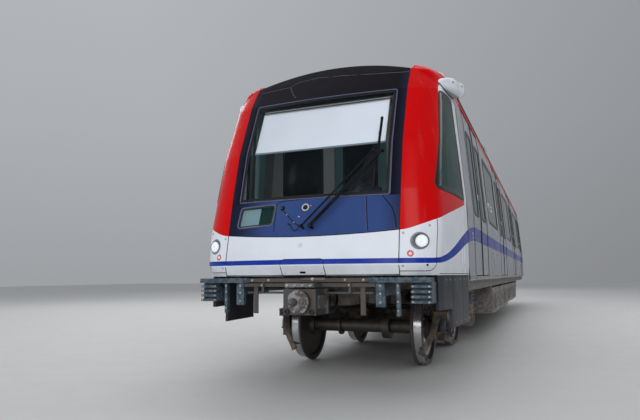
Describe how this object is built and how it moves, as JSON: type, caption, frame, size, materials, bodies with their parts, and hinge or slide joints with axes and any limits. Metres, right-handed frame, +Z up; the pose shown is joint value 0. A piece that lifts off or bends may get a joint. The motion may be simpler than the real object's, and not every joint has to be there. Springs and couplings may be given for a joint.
{
  "type": "metro car",
  "caption": "Leading metro car with a raked black cab front, hollow saloon with plug doors, roof pantograph, underfloor gear and two turning bogies.",
  "frame": {"origin": "middle of the length and width at the lowest point of the wheel flanges", "axes": "+X towards the right-hand side seen from in front, +Y from the nose to the gangway, +Z up"},
  "size_m": [2.7796, 17.3599, 4.5652],
  "materials": {
    "white_paint": "gloss",
    "black_mask": "gloss",
    "glass": "gloss",
    "roof_grey": "satin",
    "underframe_grey": "satin",
    "skirt_charcoal": "satin",
    "anticlimber_blue": "satin",
    "lamp_glass": "gloss",
    "red_lamp": "gloss",
    "rubber": "matte",
    "interior_white": "satin",
    "desk_grey": "matte",
    "seat_fabric": "matte",
    "blind_fabric": "matte",
    "bench_plastic": "satin",
    "stainless": "satin",
    "cast_bogie": "matte",
    "wheel_steel": "satin",
    "panto_alu": "satin",
    "panto_base_paint": "satin",
    "coupler_steel": "matte",
    "guard_steel": "satin"
  },
  "bodies": {
    "car_body": {"floor_deck": "underframe_grey", "sole_bars": "underframe_grey", "chassis_beams": "underframe_grey", "centre_pins": "underframe_grey", "right_side_wall": "white_paint", "left_side_wall": "white_paint", "saloon_windows": "glass", "door_leaves": "white_paint", "door_panes": "glass", "roof_shell": "roof_grey", "rear_end_wall": "white_paint", "gangway_bellows": "rubber", "rear_drawbar": "coupler_steel", "front_coupler": "coupler_steel", "front_bumper": "white_paint", "front_mask": "black_mask", "windscreen": "glass", "right_cab_side": "white_paint", "left_cab_side": "white_paint", "headlight_panels": "white_paint", "headlights": "lamp_glass", "tail_lights": "red_lamp", "cab_windows": "glass", "cab_roof": "white_paint", "camera_pods": "white_paint", "cab_skirt": "skirt_charcoal", "anticlimbers": "anticlimber_blue", "guard_bars": "guard_steel", "cab_partition": "interior_white", "driver_desk": "desk_grey", "driver_seat": "seat_fabric", "sun_blind": "blind_fabric", "ceiling_panel": "interior_white", "benches": "bench_plastic", "grab_poles": "stainless", "air_conditioners": "roof_grey", "underfloor_boxes": "underframe_grey", "pantograph_base": "panto_base_paint"},
    "hatch": {"coupler_hatch": "white_paint"},
    "cab_door": {"partition_door": "interior_white"},
    "lower_arm": {"pantograph_lower_arm": "panto_alu"},
    "upper_arm": {"pantograph_upper_arm": "panto_alu"},
    "collector_head": {"pantograph_head": "panto_alu"},
    "wiper_main": {"wiper_arm": "rubber"},
    "wiper_guide": {"wiper_link": "rubber"},
    "wiper_rubber": {"wiper_blade": "rubber"},
    "front_bogie": {"front_bogie_frame": "cast_bogie"},
    "rear_bogie": {"rear_bogie_frame": "cast_bogie"},
    "front_axle_1": {"wheelset_1": "wheel_steel"},
    "front_axle_2": {"wheelset_2": "wheel_steel"},
    "rear_axle_1": {"wheelset_3": "wheel_steel"},
    "rear_axle_2": {"wheelset_4": "wheel_steel"}
  },
  "joints": [
    {"name": "front_bogie_pivot", "type": "hinge", "parent": "car_body", "child": "front_bogie", "pos_m": [0, -5.67, 0.6], "axis": [0, 0, 1], "range_deg": [-4, 4]},
    {"name": "rear_bogie_pivot", "type": "hinge", "parent": "car_body", "child": "rear_bogie", "pos_m": [0, 5.53, 0.6], "axis": [0, 0, 1], "range_deg": [-4, 4]},
    {"name": "front_axle_1_spin", "type": "hinge", "parent": "front_bogie", "child": "front_axle_1", "pos_m": [0, -6.67, 0.45], "axis": [1, 0, 0], "continuous": true},
    {"name": "front_axle_2_spin", "type": "hinge", "parent": "front_bogie", "child": "front_axle_2", "pos_m": [0, -4.67, 0.45], "axis": [1, 0, 0], "continuous": true},
    {"name": "rear_axle_1_spin", "type": "hinge", "parent": "rear_bogie", "child": "rear_axle_1", "pos_m": [0, 4.53, 0.45], "axis": [1, 0, 0], "continuous": true},
    {"name": "rear_axle_2_spin", "type": "hinge", "parent": "rear_bogie", "child": "rear_axle_2", "pos_m": [0, 6.53, 0.45], "axis": [1, 0, 0], "continuous": true},
    {"name": "hatch_hinge", "type": "hinge", "parent": "car_body", "child": "hatch", "pos_m": [0, -8.588, 1.226], "axis": [-1, 0, 0], "range_deg": [0, 75]},
    {"name": "cab_door_hinge", "type": "hinge", "parent": "car_body", "child": "cab_door", "pos_m": [0.353, -6.69, 2], "axis": [0, 0, -1], "range_deg": [0, 85]},
    {"name": "lower_arm_pivot", "type": "hinge", "parent": "car_body", "child": "lower_arm", "pos_m": [0, 1.68, 3.86], "axis": [-1, 0, 0], "range_deg": [-7, 30]},
    {"name": "knee_pivot", "type": "hinge", "parent": "lower_arm", "child": "upper_arm", "pos_m": [0, 0.3701, 4.18659], "axis": [1, 0, 0], "range_deg": [-14, 60]},
    {"name": "head_pivot", "type": "hinge", "parent": "upper_arm", "child": "collector_head", "pos_m": [0, 1.67566, 4.44037], "axis": [1, 0, 0], "range_deg": [-30, 7]},
    {"name": "wiper_arm_pivot", "type": "hinge", "parent": "car_body", "child": "wiper_main", "pos_m": [0.075, -8.55248, 1.542], "axis": [0, -0.9552, 0.2961], "range_deg": [0, 75]},
    {"name": "wiper_link_pivot", "type": "hinge", "parent": "car_body", "child": "wiper_guide", "pos_m": [-0.018, -8.55248, 1.542], "axis": [0, -0.9552, 0.2961], "range_deg": [0, 75]},
    {"name": "wiper_blade_pivot", "type": "hinge", "parent": "wiper_main", "child": "wiper_rubber", "pos_m": [0.735, -8.32866, 2.264], "axis": [0, -0.9552, 0.2961], "range_deg": [-75, 0]}
  ],
  "couplings": [
    {"joint": "knee_pivot", "follows": "lower_arm_pivot", "ratio": 2},
    {"joint": "head_pivot", "follows": "lower_arm_pivot", "ratio": -1},
    {"joint": "wiper_link_pivot", "follows": "wiper_arm_pivot", "ratio": 1},
    {"joint": "wiper_blade_pivot", "follows": "wiper_arm_pivot", "ratio": -1}
  ]
}
